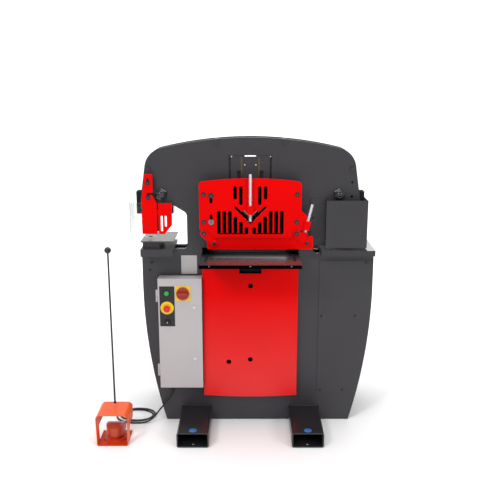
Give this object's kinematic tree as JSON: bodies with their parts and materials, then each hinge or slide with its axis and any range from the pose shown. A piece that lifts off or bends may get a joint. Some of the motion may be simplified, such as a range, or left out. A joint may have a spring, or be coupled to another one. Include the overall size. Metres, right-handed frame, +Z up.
{
  "type": "ironworker machine",
  "caption": "Hydraulic ironworker with a punching station, a guarded shear for flat and angle bar, a notching station, a control box and a corded foot switch.",
  "frame": {"origin": "on the floor, at the middle of the four anchor holes in the fork tubes", "axes": "+Z up; -Y towards the operator; +X to the operator's right"},
  "size_m": [1.3344, 0.9144, 1.437],
  "materials": {
    "frame_grey": "satin",
    "tube_grey": "satin",
    "guard_red": "gloss",
    "box_grey": "satin",
    "black_steel": "satin",
    "zinc_steel": "bright",
    "ground_steel": "ground",
    "tool_steel": "ground",
    "brass": "machined",
    "clear_sheet": "clear",
    "button_green": "gloss",
    "button_red": "gloss",
    "black_plastic": "matte",
    "hood_orange": "gloss",
    "cast_red": "satin",
    "treadle_red": "satin",
    "cord_black": "matte"
  },
  "bodies": {
    "machine": {"front_frame_plate": "frame_grey", "rear_frame_plate": "frame_grey", "base_cabinet": "frame_grey", "rear_cover": "frame_grey", "right_access_panel": "frame_grey", "shear_table": "frame_grey", "die_bracket": "frame_grey", "notcher_guard": "frame_grey", "notcher_table": "frame_grey", "guide_keepers": "frame_grey", "motor": "frame_grey", "oil_tank": "frame_grey", "left_foot_tube": "tube_grey", "right_foot_tube": "tube_grey", "front_cover": "guard_red", "shear_guard": "guard_red", "control_box": "box_grey", "frame_blocks": "black_steel", "tie_bolts": "black_steel", "guard_standoffs": "black_steel", "button_bolts": "black_steel", "hydraulic_cylinder": "black_steel", "guide_adjusters": "black_steel", "pedal_handle": "black_steel", "die_table": "ground_steel", "lower_shear_blade": "tool_steel", "die": "tool_steel", "guide_gibs": "brass", "cord_gland": "black_plastic", "pedal_hood": "hood_orange", "pedal_switch": "cast_red", "pedal_cord": "cord_black", "pedal_cord_coil": "cord_black"},
    "press_beam": {"press_beam": "black_steel", "punch_ram": "black_steel", "punch": "tool_steel", "notcher_blade": "tool_steel", "upper_shear_blade": "tool_steel", "angle_blade": "tool_steel", "pull_frame": "black_steel", "piston_rod": "ground_steel", "guide_bar": "frame_grey"},
    "left_link": {"left_link": "guard_red"},
    "right_link": {"right_link": "guard_red"},
    "hold_down_bar": {"hold_down_bar": "guard_red"},
    "centre_hold_screw": {"centre_hold_screw": "zinc_steel"},
    "side_hold_screw": {"side_hold_screw": "zinc_steel"},
    "upper_slot_screw": {"upper_slot_screw": "zinc_steel"},
    "lower_slot_screw": {"lower_slot_screw": "zinc_steel"},
    "punch_guard": {"punch_guard": "guard_red", "punch_guard_wing": "guard_red", "clear_shield": "clear_sheet"},
    "box_door": {"control_box_door": "box_grey"},
    "start_button": {"start_button": "button_green"},
    "stop_button": {"stop_button": "button_red"},
    "selector_knob": {"selector_knob": "black_plastic"},
    "disconnect_handle": {"disconnect_handle": "button_red"},
    "upper_latch": {"upper_latch": "zinc_steel"},
    "lower_latch": {"lower_latch": "zinc_steel"},
    "treadle": {"treadle": "treadle_red"}
  },
  "joints": [
    {"name": "beam_stroke", "type": "slide", "parent": "machine", "child": "press_beam", "axis": [0, 0, 1], "range_m": [-0.032, 0]},
    {"name": "left_link_turn", "type": "hinge", "parent": "machine", "child": "left_link", "pos_m": [-0.219, -0.2402, 0.994], "axis": [0, 1, 0], "range_deg": [0, 35]},
    {"name": "right_link_turn", "type": "hinge", "parent": "machine", "child": "right_link", "pos_m": [0.219, -0.2402, 0.994], "axis": [0, 1, 0], "range_deg": [0, 35]},
    {"name": "bar_turn", "type": "hinge", "parent": "left_link", "child": "hold_down_bar", "pos_m": [-0.17113, -0.2402, 0.94857], "axis": [0, 1, 0], "range_deg": [-35, 0]},
    {"name": "side_screw_feed", "type": "slide", "parent": "machine", "child": "side_hold_screw", "axis": [-0.2351, 0, -0.972], "range_m": [0, 0.0168]},
    {"name": "centre_screw_feed", "type": "slide", "parent": "machine", "child": "centre_hold_screw", "axis": [0, 0, 1], "range_m": [0, 0.06]},
    {"name": "upper_slot_slide", "type": "slide", "parent": "machine", "child": "upper_slot_screw", "axis": [0, 0, 1], "range_m": [-0.03, 0]},
    {"name": "lower_slot_slide", "type": "slide", "parent": "machine", "child": "lower_slot_screw", "axis": [0, 0, 1], "range_m": [0, 0.03]},
    {"name": "punch_guard_slide", "type": "slide", "parent": "machine", "child": "punch_guard", "axis": [0, 0, 1], "range_m": [-0.018, 0]},
    {"name": "box_door_hinge", "type": "hinge", "parent": "machine", "child": "box_door", "pos_m": [-0.455, -0.20705, 0.5], "axis": [0, 0, -1], "range_deg": [0, 110]},
    {"name": "start_button_press", "type": "slide", "parent": "box_door", "child": "start_button", "axis": [0, 1, 0], "range_m": [0, 0.004], "stiffness_N_per_m": 400},
    {"name": "stop_button_press", "type": "slide", "parent": "box_door", "child": "stop_button", "axis": [0, 1, 0], "range_m": [0, 0.005], "stiffness_N_per_m": 600},
    {"name": "selector_turn", "type": "hinge", "parent": "box_door", "child": "selector_knob", "pos_m": [-0.404, -0.2232, 0.547], "axis": [0, 1, 0], "range_deg": [-45, 45]},
    {"name": "disconnect_turn", "type": "hinge", "parent": "box_door", "child": "disconnect_handle", "pos_m": [-0.327, -0.2232, 0.694], "axis": [0, 1, 0], "range_deg": [0, 90]},
    {"name": "upper_latch_turn", "type": "hinge", "parent": "box_door", "child": "upper_latch", "pos_m": [-0.273, -0.2232, 0.623], "axis": [0, 1, 0], "range_deg": [0, 90]},
    {"name": "lower_latch_turn", "type": "hinge", "parent": "box_door", "child": "lower_latch", "pos_m": [-0.273, -0.2232, 0.358], "axis": [0, 1, 0], "range_deg": [0, 90]},
    {"name": "treadle_press", "type": "hinge", "parent": "machine", "child": "treadle", "pos_m": [-0.657, -0.3112, 0.041], "axis": [1, 0, 0], "range_deg": [0, 8], "stiffness_Nm_per_rad": 10}
  ],
  "couplings": [
    {"joint": "right_link_turn", "follows": "left_link_turn", "ratio": 1},
    {"joint": "bar_turn", "follows": "left_link_turn", "ratio": -1},
    {"joint": "side_screw_feed", "follows": "left_link_turn", "m_per_rad": 0.0275}
  ]
}
